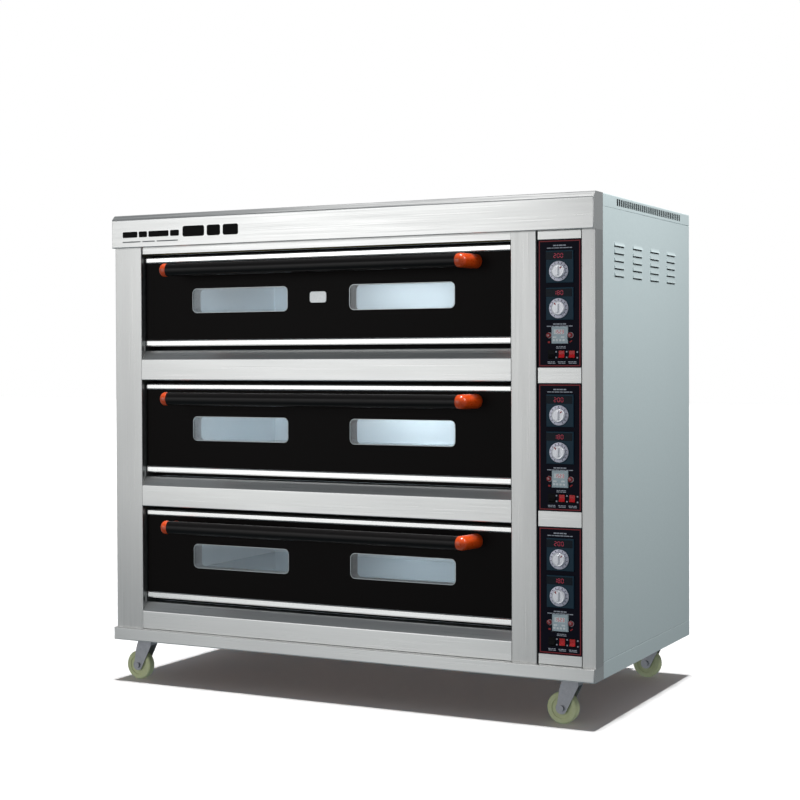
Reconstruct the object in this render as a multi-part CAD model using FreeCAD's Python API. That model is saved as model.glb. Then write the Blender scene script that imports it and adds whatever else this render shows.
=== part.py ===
"""Three-deck electric bakery oven: sheet-metal casing on castors, three drop-down
doors with windows, a control column on the right.

Frame: millimetres, +X to the oven's right, +Y to its back, +Z up.
The origin is on the floor, under the centre of the oven's overall box.
"""
import FreeCAD, Part
import os

Vec = FreeCAD.Vector

# ---- driving dimensions -------------------------------------------------------------
width = 1660.0              # outside of the side panels
depth = 880.0               # front of the pillars to the back panel
height = 1514.0             # floor to the top cover
front = -416.5              # Y of the pillars' front faces
sheet = 1.5                 # thickness of folded sheet

base_bottom = 134.0         # underside of the base frame
base_top = 173.0            # top of the base, where the casing starts
hood_bottom = 1408.0        # underside of the hood
hood_face_top = 1498.0      # where the hood's bevel starts
cover_seam = 1477.0         # seam between a side panel and the top cover
skirt_seam = 182.0          # seam between a side panel and the base skirt
hood_reach = 18.0           # how far the hood and base stand in front of the pillars
wrap = 58.0                 # how far the stainless front pieces wrap round the sides

decks = ["bottom", "middle", "top"]
deck_pitch = 408.0
first_door = 273.0          # bottom edge of the lowest door
door_height = 286.0
door_width = 1288.0
door_recess = 20.0          # door face behind the pillars' front
door_depth = 45.0           # outer face to back of a door

left_pillar = 103.5
middle_pillar = 79.0
right_pillar = 43.0
control_gap = 7.0           # shadow gap beside the control column
control_width = 130.0

window_width = 352.0
window_height = 76.0
window_bottom = 106.0       # above the door's bottom edge
window_margin = 182.0       # door edge to window
window_radius = 15.0
trim_top = 17.5             # height of the top trim strip
trim_bottom = 19.5

hinge_back = 5.0            # hinge axis behind the door's outer face
hinge_up = 8.0              # hinge axis above the door's bottom edge
hinge_pin_radius = 4.0
running_gap = 0.05          # radial clearance of a pin or shaft in its hole

handle_height = 240.0       # bar axis above the door's bottom edge
handle_stand_off = 75.0     # bar axis in front of the door face
handle_bar_radius = 20.0
handle_end_radius = 22.0
handle_elbow_inset = 127.0  # door edge to the elbow's centre
handle_foot_inset = 114.0   # door edge to the leg's foot on the door
handle_socket = 6.0         # bar past the elbow's centre
handle_wall = 2.5           # wall of the tubular bar

chamber_width = 1230.0
chamber_depth = 700.0
chamber_height = 225.0
chamber_floor = 30.0        # above the door's bottom edge
hearth_lift = 36.0          # hearth plate's underside above the chamber floor
hearth_thickness = 3.0

castor_x = 741.0            # swivel axis from the middle
castor_front = 45.0         # swivel axis behind the pillars' front
castor_rear = 800.0
castor_trail = 28.0
wheel_radius = 46.0
wheel_width = 28.0

# ---- places worked out from them ----------------------------------------------------
left = -width / 2
right = width / 2
opening_left = left + left_pillar
opening_right = right - right_pillar - control_width - control_gap - middle_pillar
opening_middle = (opening_left + opening_right) / 2
door_left = opening_middle - door_width / 2
door_right = opening_middle + door_width / 2
door_face = front + door_recess
door_back = door_face + door_depth
control_left = right - right_pillar - control_width
control_right = right - right_pillar
control_middle = (control_left + control_right) / 2
back = front + depth
flange_front = front + door_recess + door_depth + 1.0
chamber_front = flange_front + sheet
chamber_back = chamber_front + chamber_depth


def door_bottom(deck):
    return first_door + deck * deck_pitch


# ---- shape helpers ------------------------------------------------------------------
def box(x0, x1, y0, y1, z0, z1):
    return Part.makeBox(x1 - x0, y1 - y0, z1 - z0, Vec(x0, y0, z0))


def rod(start, end, radius):
    """Round bar between two points."""
    along = Vec(*end) - Vec(*start)
    return Part.makeCylinder(radius, along.Length, Vec(*start), along)


def prism_x(profile, x0, x1):
    """Closed outline of (y, z) points pushed out along X."""
    points = [Vec(x0, y, z) for y, z in profile]
    face = Part.Face(Part.makePolygon(points + points[:1]))
    return face.extrude(Vec(x1 - x0, 0, 0))


def prism_y(profile, y0, y1):
    """Closed outline of (x, z) points pushed out along Y."""
    points = [Vec(x, y0, z) for x, z in profile]
    face = Part.Face(Part.makePolygon(points + points[:1]))
    return face.extrude(Vec(0, y1 - y0, 0))


def plate_with_round_corners(x0, x1, y0, y1, z0, z1, radius):
    """Plate facing Y whose four corners are rounded."""
    body = box(x0, x1, y0, y1, z0, z1)
    corners = [edge for edge in body.Edges if abs(edge.tangentAt(0).y) > 0.9]
    return body.makeFillet(radius, corners)


def joined(shapes):
    whole = shapes[0].multiFuse(shapes[1:]) if len(shapes) > 1 else shapes[0]
    return whole.removeSplitter()


def save(node, shapes):
    """Write one node; its solids stay separate."""
    solids = []
    for shape in shapes:
        solids.extend(shape.Solids)
    Part.makeCompound(solids).exportStep("parts/" + node + ".step")


# ---- base and castors ---------------------------------------------------------------
tube = 36.0
tube_wall = 2.5
bays = 3                    # openings between the cross tubes
drain_radius = 5.0


def frame_tube(x0, x1, y0, y1):
    """Square tube lying along its longer side, in the base frame."""
    outer = box(x0, x1, y0, y1, base_bottom, base_top)
    if x1 - x0 > y1 - y0:
        inner = box(x0, x1, y0 + tube_wall, y1 - tube_wall, base_bottom + tube_wall, base_top - tube_wall)
    else:
        inner = box(x0 + tube_wall, x1 - tube_wall, y0, y1, base_bottom + tube_wall, base_top - tube_wall)
    return outer.cut(inner)


def drain_holes(x0, x1, y0, y1):
    """Holes through the underside of every tube."""
    places = []
    for share in (0.2, 0.8):
        for y in (y0 + tube / 2, y1 - tube / 2):
            places.append((x0 + (x1 - x0) * share, y))
        for index in range(bays + 1):
            places.append((x0 + (x1 - x0 - tube) * index / bays + tube / 2, y0 + (y1 - y0) * share))
    return [rod((x, y, base_bottom - 1), (x, y, base_bottom + tube_wall + 1), drain_radius) for x, y in places]


def make_base():
    x0 = left + sheet
    x1 = right - sheet
    y0 = front + sheet
    y1 = back - sheet
    long_tubes = [frame_tube(x0, x1, y0, y0 + tube), frame_tube(x0, x1, y1 - tube, y1)]
    cross_tubes = []
    for index in range(bays + 1):
        x = x0 + (x1 - x0 - tube) * index / bays
        cross_tubes.append(frame_tube(x, x + tube, y0 + tube, y1 - tube))
    skirts = []
    for x in (left, x1):
        skirts.append(box(x, x + sheet, front + wrap, back, base_bottom, skirt_seam))
    floor = box(x0, x1, y0, y1, base_top - sheet, base_top)
    frame = joined(long_tubes + cross_tubes + skirts + [floor])
    save("base_frame", [frame.cut(Part.makeCompound(drain_holes(x0, x1, y0, y1)))])

    y = front - hood_reach
    outer = box(left, right, y, front, base_bottom, base_top)
    hollow = box(left + sheet, right - sheet, y + sheet, front, base_bottom - 1, base_top - sheet)
    returns = [box(x, x + sheet, front, front + wrap, base_bottom, base_top) for x in (left, x1)]
    save("base_fascia", [joined([outer.cut(hollow)] + returns)])


castor_plate_half_x = 48.0
castor_plate_half_y = 38.0
race_radius = 24.0
race_height = 4.0
kingpin_radius = 6.0
kingpin_nut_radius = 10.0
kingpin_nut_height = 6.0
axle_radius = 6.0
axle_head_radius = 8.5
axle_head_height = 6.0
fork_thickness = 3.0
fork_clearance = 1.5        # between the wheel and a fork leg
fork_foot_radius = 17.0
fork_back = 26.0            # crown behind the swivel axis
fork_front = 24.0
wheel_rounding = 6.0
wheel_dish_radius = 31.0
wheel_boss_radius = 14.0
wheel_dish_depth = 2.5
plate_bottom = base_bottom - 4.0
crown_top = plate_bottom - race_height - 0.3
crown_bottom = crown_top - 12.0
castor_corners = {
    "front_left": (-castor_x, front + castor_front),
    "front_right": (castor_x, front + castor_front),
    "rear_left": (-castor_x, front + castor_rear),
    "rear_right": (castor_x, front + castor_rear),
}


def castor_plate(x, y):
    plate = box(x - castor_plate_half_x, x + castor_plate_half_x, y - castor_plate_half_y, y + castor_plate_half_y,
                plate_bottom, base_bottom)
    race = rod((x, y, plate_bottom - race_height), (x, y, plate_bottom), race_radius)
    nut_top = crown_bottom - 1
    kingpin = rod((x, y, nut_top), (x, y, plate_bottom), kingpin_radius)
    nut = rod((x, y, nut_top - kingpin_nut_height), (x, y, nut_top), kingpin_nut_radius)
    return joined([plate, race, kingpin, nut])


def castor_leg(x, y0, y1):
    """Leaning leg from the crown down to the axle, with a round foot."""
    axle_x = x - castor_trail
    foot = rod((axle_x, y0, wheel_radius), (axle_x, y1, wheel_radius), fork_foot_radius)
    foot_half = fork_foot_radius - 1
    foot_z = wheel_radius - 6
    blade = prism_y([(x - fork_back, crown_top), (x + fork_front, crown_top), (x + fork_front, crown_bottom),
                     (axle_x + foot_half, foot_z), (axle_x - foot_half, foot_z),
                     (x - fork_back - 8, crown_bottom - 14)], y0, y1)
    return joined([foot, blade])


def castor_fork(x, y):
    """Crown, two legs, and an axle with a head at each end."""
    axle_x = x - castor_trail
    inside = wheel_width / 2 + fork_clearance
    outside = inside + fork_thickness
    tip = outside + axle_head_height
    crown = box(x - fork_back, x + fork_front, y - outside, y + outside, crown_bottom, crown_top)
    legs = [castor_leg(x, y - outside, y - inside), castor_leg(x, y + inside, y + outside)]
    axle = rod((axle_x, y - tip, wheel_radius), (axle_x, y + tip, wheel_radius), axle_radius)
    heads = [rod((axle_x, y - tip, wheel_radius), (axle_x, y - outside, wheel_radius), axle_head_radius),
             rod((axle_x, y + outside, wheel_radius), (axle_x, y + tip, wheel_radius), axle_head_radius)]
    bore = rod((x, y, crown_bottom - 1), (x, y, crown_top + 1), kingpin_radius + running_gap)
    return joined([crown] + legs + [axle] + heads).cut(bore)


def castor_wheel(x, y):
    axle_x = x - castor_trail
    start = Vec(axle_x, y - wheel_width / 2, wheel_radius)
    wheel = Part.makeCylinder(wheel_radius, wheel_width, start, Vec(0, 1, 0))
    rims = [edge for edge in wheel.Edges if edge.Closed]
    wheel = wheel.makeFillet(wheel_rounding, rims)
    for side in (-1, 1):
        face_y = y + side * wheel_width / 2
        ends = [(axle_x, face_y - wheel_dish_depth, wheel_radius), (axle_x, face_y + wheel_dish_depth, wheel_radius)]
        wheel = wheel.cut(rod(ends[0], ends[1], wheel_dish_radius).cut(rod(ends[0], ends[1], wheel_boss_radius)))
    bore = rod((axle_x, y - wheel_width, wheel_radius), (axle_x, y + wheel_width, wheel_radius),
               axle_radius + running_gap)
    return wheel.cut(bore)


def make_castors():
    save("castor_plates", [castor_plate(x, y) for x, y in castor_corners.values()])
    for corner, (x, y) in castor_corners.items():
        save("castor_fork_" + corner, [castor_fork(x, y)])
        save("castor_wheel_" + corner, [castor_wheel(x, y)])


# ---- casing -------------------------------------------------------------------------
louvre_columns = 4
louvre_rows = 5
louvre_length = 84.0
louvre_height = 14.0
louvre_reach = 5.0
louvre_wall = 1.2
louvre_first_y = front + 153.0
louvre_pitch_y = 163.0
louvre_top = 1384.0
louvre_pitch_z = 21.7
slot_count = 33
slot_width = 12.5
slot_height = 20.0
slot_first_y = front + 175.0
slot_pitch = 18.6
slot_lift = 9.0             # above the seam under the top cover
panel_fold = 18.0           # depth of a side panel's folded edges


def louvre_places():
    for column in range(louvre_columns):
        for row in range(louvre_rows):
            yield louvre_first_y + column * louvre_pitch_y, louvre_top - row * louvre_pitch_z


def side_panel(side):
    """Painted panel on one side (side is -1 for left, 1 for right), with pressed louvres."""
    face = side * width / 2
    inner = face - side * sheet
    low, high = min(face, inner), max(face, inner)
    fold = face - side * panel_fold
    panel = box(low, high, front + wrap, back, skirt_seam, cover_seam)
    folds = [box(min(face, fold), max(face, fold), front + wrap, front + wrap + sheet, skirt_seam, cover_seam),
             box(min(face, fold), max(face, fold), front + wrap, back - sheet, cover_seam - sheet, cover_seam)]
    openings = []
    hoods = []
    wall = louvre_wall
    for y, top in louvre_places():
        bottom = top - louvre_height
        openings.append(box(low - 1, high + 1, y + wall, y + louvre_length - wall, bottom, top - 3))
        outside = prism_y([(inner, top), (face, top), (face + side * louvre_reach, bottom), (inner, bottom)],
                          y, y + louvre_length)
        hollow = prism_y([(inner - side, top - 3), (face, top - 3), (face + side * (louvre_reach - wall), bottom - 1),
                          (inner - side, bottom - 1)], y + wall, y + louvre_length - wall)
        hoods.append(outside.cut(hollow))
    return joined([joined([panel] + folds).cut(Part.makeCompound(openings))] + hoods)


def make_top_cover():
    y0 = front + wrap
    outer = box(left, right, y0, back, cover_seam, height)
    hollow = box(left + sheet, right - sheet, y0 - 1, back - sheet, cover_seam - 1, height - sheet)
    cover = outer.cut(hollow)
    slots = []
    slot_bottom = cover_seam + slot_lift
    for index in range(slot_count):
        y = slot_first_y + index * slot_pitch
        slots.append(box(left - 1, right + 1, y, y + slot_width, slot_bottom, slot_bottom + slot_height))
    save("top_cover", [cover.cut(Part.makeCompound(slots))])


back_slot_rows = 8
back_slot_lefts = (-430.0, 130.0)
back_slot_length = 300.0
back_slot_height = 8.0
back_slot_bottom = 1180.0
back_slot_pitch = 24.0


def make_back_panel():
    panel = box(left + sheet, right - sheet, back - sheet, back, base_top, cover_seam)
    slots = []
    for row in range(back_slot_rows):
        z = back_slot_bottom + row * back_slot_pitch
        for x in back_slot_lefts:
            slots.append(box(x, x + back_slot_length, back - 3, back + 1, z, z + back_slot_height))
    save("back_panel", [panel.cut(Part.makeCompound(slots))])


def make_hood():
    y0 = front - hood_reach
    y1 = front + wrap
    outline = [(y0, hood_bottom), (y1, hood_bottom), (y1, height), (y0 + height - hood_face_top, height),
               (y0, hood_face_top)]
    inner = [(y0 + sheet, hood_bottom + sheet), (y1 + 1, hood_bottom + sheet), (y1 + 1, height - sheet),
             (y0 + height - hood_face_top + 1, height - sheet), (y0 + sheet, hood_face_top - 1)]
    shell = prism_x(outline, left, right).cut(prism_x(inner, left + sheet, right - sheet))
    save("hood", [shell])


column_return = 22.0        # depth of the folds beside the control column


def make_pillars():
    y1 = flange_front
    z0, z1 = base_top, hood_bottom
    left_one = joined([box(left, opening_left, front, front + sheet, z0, z1),
                       box(left, left + sheet, front, front + wrap, z0, z1),
                       box(opening_left - sheet, opening_left, front, y1, z0, z1)])
    middle_one = joined([box(opening_right, opening_right + middle_pillar, front, front + sheet, z0, z1),
                         box(opening_right, opening_right + sheet, front, y1, z0, z1),
                         box(opening_right + middle_pillar - sheet, opening_right + middle_pillar,
                             front, front + column_return, z0, z1)])
    right_one = joined([box(control_right, right, front, front + sheet, z0, z1),
                        box(right - sheet, right, front, front + wrap, z0, z1),
                        box(control_right, control_right + sheet, front, front + column_return, z0, z1)])
    save("front_pillars", [left_one, middle_one, right_one])


sill_slope_back = 24.0      # run of the sill's sloping top
sill_slope_top = -14.0      # from the door's bottom edge
sill_slope_front = -43.0
sill_foot = -109.0
lintel_back = 6.0
lintel_height = 21.0
lug_width = 3.0
lug_front = 10.0            # lug in front of the hinge axis
lug_over = 9.0              # lug above the hinge axis


def make_sills():
    """Folded sill under each door, with its two hinge lugs, and the lintel under the hood."""
    slope_back = front + sill_slope_back
    pieces = []
    for deck in range(len(decks)):
        z = door_bottom(deck)
        foot = base_top if deck == 0 else z + sill_foot
        edge = z + sill_slope_front
        shelf = z + sill_slope_top
        outline = [(front, foot), (front, edge), (slope_back, shelf), (flange_front, shelf),
                   (flange_front, shelf - sheet), (slope_back + 1, shelf - sheet), (front + sheet, edge - 1),
                   (front + sheet, foot)]
        sill = prism_x(outline, opening_left, opening_right)
        pieces.append(joined([sill] + [hinge_lug(z, x) for x in (opening_left, opening_right - lug_width)]))
    face = front + lintel_back
    lintel = joined([box(opening_left, opening_right, face, face + sheet, hood_bottom - lintel_height, hood_bottom),
                     box(opening_left, opening_right, face, flange_front, hood_bottom - sheet, hood_bottom)])
    save("deck_sills", pieces + [lintel])


def hinge_y():
    return door_face + hinge_back


def hinge_lug(z, x):
    """Upright lug at one end of a sill, bored for the door's hinge pin."""
    y = hinge_y()
    top = z + hinge_up
    blade = box(x, x + lug_width, y - lug_front, flange_front, z + sill_slope_top, top + lug_over)
    bore = rod((x - 1, y, top), (x + lug_width + 1, y, top), hinge_pin_radius + running_gap)
    return blade.cut(bore)


# ---- chambers -----------------------------------------------------------------------
flange_over = 12.0          # chamber flange above the door's top edge
ledge_width = 12.0
ledge_thickness = 3.0
lamp_back = 60.0            # lamp axis behind the chamber's mouth
lamp_socket_radius = 26.0
lamp_socket_height = 8.0
lamp_dome_radius = 19.0
lamp_dome_height = 6.0


def chamber_edges():
    x0 = opening_middle - chamber_width / 2
    return x0, x0 + chamber_width


def make_chambers():
    x0, x1 = chamber_edges()
    liners, hearths, lamps = [], [], []
    for deck in range(len(decks)):
        door = door_bottom(deck)
        z0 = door + chamber_floor
        z1 = z0 + chamber_height
        outer = box(x0 - sheet, x1 + sheet, flange_front, chamber_back + sheet, z0 - sheet, z1 + sheet)
        flange = box(opening_left, opening_right, flange_front, chamber_front, door + sill_slope_top,
                     door + door_height + flange_over)
        hollow = box(x0, x1, flange_front - 1, chamber_back, z0, z1)
        ledge_top = z0 + hearth_lift
        ledge_bottom = ledge_top - ledge_thickness
        ledges = [box(x0, x0 + ledge_width, chamber_front, chamber_back, ledge_bottom, ledge_top),
                  box(x1 - ledge_width, x1, chamber_front, chamber_back, ledge_bottom, ledge_top)]
        liners.append(joined([joined([outer, flange]).cut(hollow)] + ledges))
        hearths.append(box(x0 + 1, x1 - 1, chamber_front + 2, chamber_back - 1,
                           ledge_top, ledge_top + hearth_thickness))
        for x in window_middles():
            y = chamber_front + lamp_back
            rim_z = z1 - lamp_socket_height
            socket = rod((x, y, rim_z), (x, y, z1), lamp_socket_radius)
            dome = rod((x, y, rim_z - lamp_dome_height), (x, y, rim_z), lamp_dome_radius)
            lamps.append(joined([socket, dome]))
    save("baking_chambers", liners)
    save("hearth_plates", hearths)
    save("oven_lamps", lamps)


heater_loops = 5            # across the chamber, above and below the hearth
heater_half_gap = 60.0      # half the spacing of a loop's legs
heater_radius = 6.0
heater_front = 190.0        # bend's centre behind the chamber's mouth
heater_low = 18.0           # lower loops above the chamber floor
heater_high = 24.0          # upper loops below the ceiling
collar_over = 12.0
collar_half_height = 9.0
collar_thickness = 3.0


def heater_loop(x, z):
    """Hairpin tubular heater: two straight legs and a half-turn at the front."""
    y0 = chamber_front + heater_front
    y1 = chamber_back
    span = 2 * heater_half_gap
    turn = Part.makeTorus(heater_half_gap, heater_radius, Vec(x, y0, z), Vec(0, 0, 1), -180, 180, 360)
    front_half = turn.common(box(x - span, x + span, y0 - span, y0, z - 20, z + 20))
    legs = [rod((x + offset, y0, z), (x + offset, y1, z), heater_radius)
            for offset in (-heater_half_gap, heater_half_gap)]
    half_width = heater_half_gap + collar_over
    collar = box(x - half_width, x + half_width, y1 - collar_thickness, y1,
                 z - collar_half_height, z + collar_half_height)
    return joined([front_half] + legs + [collar])


def make_heaters():
    x0, x1 = chamber_edges()
    pitch = (x1 - x0) / heater_loops
    pieces = []
    for deck in range(len(decks)):
        z0 = door_bottom(deck) + chamber_floor
        for z in (z0 + heater_low, z0 + chamber_height - heater_high):
            for index in range(heater_loops):
                pieces.append(heater_loop(x0 + pitch * (index + 0.5), z))
    save("heating_elements", pieces)


wool = 50.0                 # thickness of the rock wool


def make_insulation():
    """Rock wool laid over and under each chamber, down both sides and across the back."""
    x0, x1 = chamber_edges()
    y0, y1 = chamber_front, chamber_back + sheet
    slabs = []
    for deck in range(len(decks)):
        under = door_bottom(deck) + chamber_floor - sheet
        over = under + chamber_height + 2 * sheet
        slabs.append(box(x0 - sheet, x1 + sheet, y0, y1, under - wool, under))
        slabs.append(box(x0 - sheet, x1 + sheet, y0, y1, over, over + wool))
    for x in (x0 - sheet - wool, x1 + sheet):
        slabs.append(box(x, x + wool, y0, y1, base_top, cover_seam - 4))
    slabs.append(box(x0 - sheet - wool, x1 + sheet + wool, y1, y1 + wool, base_top, cover_seam - 4))
    save("insulation", slabs)


# ---- doors --------------------------------------------------------------------------
def window_middles():
    offset = door_width / 2 - window_margin - window_width / 2
    return opening_middle - offset, opening_middle + offset


def windows(z, y0, y1, grow=0.0):
    """The two rounded window blocks of a door, between two depths."""
    half = window_width / 2 + grow
    blocks = []
    for x in window_middles():
        blocks.append(plate_with_round_corners(x - half, x + half, y0, y1, z + window_bottom - grow,
                                               z + window_bottom + window_height + grow, window_radius))
    return blocks


face_thickness = 3.0
door_sheet = 1.2
glass_front = 1.0           # pane behind the door face
glass_thickness = 4.0


def make_door(deck):
    z = door_bottom(deck)
    z0, z1 = z, z + door_height
    name = decks[deck]
    face_back = door_face + face_thickness
    panel = box(door_left + 2, door_right - 2, door_face, face_back, z0 + trim_bottom, z1 - trim_top)
    save("door_panel_" + name, [panel.cut(Part.makeCompound(windows(z, door_face - 1, face_back + 1)))])

    outer = box(door_left, door_right, face_back, door_back, z0, z1)
    hollow = box(door_left + door_sheet, door_right - door_sheet, face_back + door_sheet, door_back - door_sheet,
                 z0 + door_sheet, z1 - door_sheet)
    trims = [box(door_left, door_right, door_face, face_back, z0, z0 + trim_bottom),
             box(door_left, door_right, door_face, face_back, z1 - trim_top, z1)]
    tunnel = Part.makeCompound(windows(z, face_back - 1, door_back + 1))
    tunnel_walls = Part.makeCompound(windows(z, face_back, door_back, door_sheet)).cut(tunnel)
    pin_z = z + hinge_up
    pins = [rod((opening_left + 0.3, hinge_y(), pin_z), (door_left + 12, hinge_y(), pin_z), hinge_pin_radius),
            rod((door_right - 12, hinge_y(), pin_z), (opening_right - 0.3, hinge_y(), pin_z), hinge_pin_radius)]
    shell = outer.cut(hollow).cut(tunnel)
    save("door_frame_" + name, [joined([shell] + trims + pins + tunnel_walls.Solids)])

    pane_front = door_face + glass_front
    save("door_glass_" + name, windows(z, pane_front, pane_front + glass_thickness))

    bar_y = door_face - handle_stand_off
    bar_z = z + handle_height
    bar_left = door_left + handle_elbow_inset - handle_socket
    bar_right = door_right - handle_elbow_inset + handle_socket
    bar = rod((bar_left, bar_y, bar_z), (bar_right, bar_y, bar_z), handle_bar_radius)
    bore = rod((bar_left + 2, bar_y, bar_z), (bar_right - 2, bar_y, bar_z), handle_bar_radius - handle_wall)
    save("handle_bar_" + name, [bar.cut(bore)])
    ends = []
    for edge, inward in ((door_left, 1), (door_right, -1)):
        elbow_x = edge + inward * handle_elbow_inset
        foot_x = edge + inward * handle_foot_inset
        leg = rod((elbow_x, bar_y, bar_z), (foot_x, door_face + 5, bar_z), handle_end_radius - 1)
        leg = leg.cut(box(foot_x - 60, foot_x + 60, door_face, door_face + 20, bar_z - 40, bar_z + 40))
        elbow = Part.makeSphere(handle_end_radius, Vec(elbow_x, bar_y, bar_z))
        ends.append(joined([leg, elbow]).cut(bar))
    save("handle_ends_" + name, ends)


# ---- controls -----------------------------------------------------------------------
panel_height = 362.0
panel_drop = 69.0           # plate's lower edge below the door's bottom edge
plate_front = front + sheet
plate_back = plate_front + sheet
dial_heights = {"upper_heat": 272.0, "lower_heat": 167.0}
dial_radius = 28.0
thermostat_half_width = 41.0
timer_height = 91.0
timer_half = 24.0
lamp_offset = 32.5
lamp_radius = 8.3
switch_height = 36.0
switch_offsets = {"lamp_switch": -26.0, "power_switch": 5.0, "timer_switch": 36.0}
rocker_tilt = 8.0


def panel_bottom(deck):
    return door_bottom(deck) - panel_drop


def thermostat(deck, dial_z):
    """Bezel with a display window, on a body that goes back through the plate."""
    x = control_middle
    z = panel_bottom(deck) + dial_z
    bezel = box(x - thermostat_half_width, x + thermostat_half_width, plate_front - 5, plate_front,
                z - 33, z + 59)
    edges = [edge for edge in bezel.Edges if abs(edge.CenterOfMass.y - (plate_front - 5)) < 0.1]
    bezel = bezel.makeChamfer(1.5, edges)
    display = box(x - 19, x + 19, plate_front - 6, plate_front - 3.8, z + 36, z + 53)
    case = box(x - 36, x + 36, plate_front, plate_front + 60, z - 30, z + 56)
    bore = rod((x, plate_front - 6, z), (x, plate_front + 20, z), 3.0 + running_gap)
    return joined([bezel.cut(display), case]).cut(bore)


def dial_knob(deck, dial_z):
    """Knob with a scale skirt, a grip bar across it and a shaft."""
    x = control_middle
    z = panel_bottom(deck) + dial_z
    y = plate_front - 5.5
    skirt = Part.makeCone(dial_radius, dial_radius - 2, 3.5, Vec(x, y, z), Vec(0, -1, 0))
    hub = Part.makeCone(19.5, 18.0, 9.5, Vec(x, y - 3.5, z), Vec(0, -1, 0))
    grip = box(x - 5, x + 5, y - 19, y - 3.5, z - 17.5, z + 17.5)
    shaft = rod((x, y, z), (x, plate_front + 16, z), 3.0)
    return joined([skirt, hub, grip, shaft])


def timer(deck):
    x = control_middle
    z = panel_bottom(deck) + timer_height
    bezel = box(x - timer_half, x + timer_half, plate_front - 7, plate_front, z - timer_half, z + timer_half)
    edges = [edge for edge in bezel.Edges if abs(edge.CenterOfMass.y - (plate_front - 7)) < 0.1]
    bezel = bezel.makeChamfer(2.0, edges)
    window = box(x - 17, x + 17, plate_front - 8, plate_front - 6, z + 2, z + 17)
    case = box(x - 22, x + 22, plate_front, plate_front + 55, z - 22, z + 22)
    return joined([bezel.cut(window), case])


def indicator(x, z):
    ring = rod((x, plate_front - 2.5, z), (x, plate_front, z), lamp_radius)
    lens = Part.makeSphere(5.5, Vec(x, plate_front - 1.0, z))
    lens = lens.common(box(x - 9, x + 9, plate_front - 8, plate_front, z - 9, z + 9))
    stem = rod((x, plate_front, z), (x, plate_front + 22, z), 4.5)
    return joined([ring, lens, stem])


rocker_half_width = 8.4
rocker_half_height = 9.9
housing_half_width = 10.4
housing_half_height = 13.0
pivot_depth = 4.0           # rocker pivot behind the plate's front


def switch_housing(x, z):
    """Rectangular bezel and case with a pocket for the rocker and two pivot holes."""
    bezel = box(x - housing_half_width, x + housing_half_width, plate_front - 2, plate_front,
                z - housing_half_height, z + housing_half_height)
    case = box(x - 9.6, x + 9.6, plate_front, plate_front + 24, z - 12.2, z + 12.2)
    pocket = box(x - rocker_half_width - 0.3, x + rocker_half_width + 0.3, plate_front - 3, plate_front + 15,
                 z - 11.3, z + 11.3)
    pivot = rod((x - 9.61, plate_front + pivot_depth, z), (x + 9.61, plate_front + pivot_depth, z),
                1.5 + running_gap)
    return joined([bezel, case]).cut(pocket).cut(pivot)


def rocker(x, z):
    """Rocker tilted to its off position, with pivot stubs at both ends."""
    y = plate_front
    outline = [(y - 1.5, z), (y - 4.0, z + rocker_half_height), (y + 3.0, z + rocker_half_height),
               (y + 9.0, z + 5.0), (y + 9.0, z - 5.0), (y + 3.0, z - rocker_half_height),
               (y - 4.0, z - rocker_half_height)]
    body = prism_x(outline, x - rocker_half_width, x + rocker_half_width)
    pivot = rod((x - 9.3, y + pivot_depth, z), (x + 9.3, y + pivot_depth, z), 1.5)
    whole = joined([body, pivot])
    whole.rotate(Vec(x, y + pivot_depth, z), Vec(1, 0, 0), -rocker_tilt)
    return whole


def control_plate(deck):
    """Printed plate with cut-outs for its instruments."""
    z = panel_bottom(deck)
    x = control_middle
    plate = box(control_left - 2, control_right - 1, plate_front, plate_back, z, z + panel_height)
    holes = []
    for dial_z in dial_heights.values():
        holes.append(box(x - 36, x + 36, plate_front - 1, plate_back + 1, z + dial_z - 30, z + dial_z + 56))
    timer_z = z + timer_height
    holes.append(box(x - 22, x + 22, plate_front - 1, plate_back + 1, timer_z - 22, timer_z + 22))
    for side in (-1, 1):
        lamp_x = x + side * lamp_offset
        holes.append(rod((lamp_x, plate_front - 1, timer_z), (lamp_x, plate_back + 1, timer_z), 4.5))
    for offset in switch_offsets.values():
        holes.append(box(x + offset - 9.6, x + offset + 9.6, plate_front - 1, plate_back + 1,
                         z + switch_height - 12.2, z + switch_height + 12.2))
    return plate.cut(Part.makeCompound(holes))


def blank_plate(z0, z1):
    """Stainless blank between two control plates, folded back at its upper and lower edges."""
    x0, x1 = control_left - 2, control_right - 1
    return joined([box(x0, x1, front, front + sheet, z0, z1),
                   box(x0, x1, front, front + 16, z0, z0 + sheet),
                   box(x0, x1, front, front + 16, z1 - sheet, z1)])


def make_controls():
    plates, bodies, timers, lamps, housings = [], [], [], [], []
    for deck, name in enumerate(decks):
        plates.append(control_plate(deck))
        for heat, dial_z in dial_heights.items():
            bodies.append(thermostat(deck, dial_z))
            save(heat + "_knob_" + name, [dial_knob(deck, dial_z)])
        timers.append(timer(deck))
        for side in (-1, 1):
            lamps.append(indicator(control_middle + side * lamp_offset, panel_bottom(deck) + timer_height))
        for switch, offset in switch_offsets.items():
            x = control_middle + offset
            z = panel_bottom(deck) + switch_height
            housings.append(switch_housing(x, z))
            save(switch + "_" + name, [rocker(x, z)])
    save("control_panels", plates)
    save("thermostat_bodies", bodies)
    save("bake_timers", timers)
    save("indicator_lamps", lamps)
    save("switch_housings", housings)

    blanks = []
    lower = base_top
    for deck in range(len(decks)):
        blanks.append(blank_plate(lower, panel_bottom(deck)))
        lower = panel_bottom(deck) + panel_height
    blanks.append(blank_plate(lower, hood_bottom))
    save("control_spacers", blanks)


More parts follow.
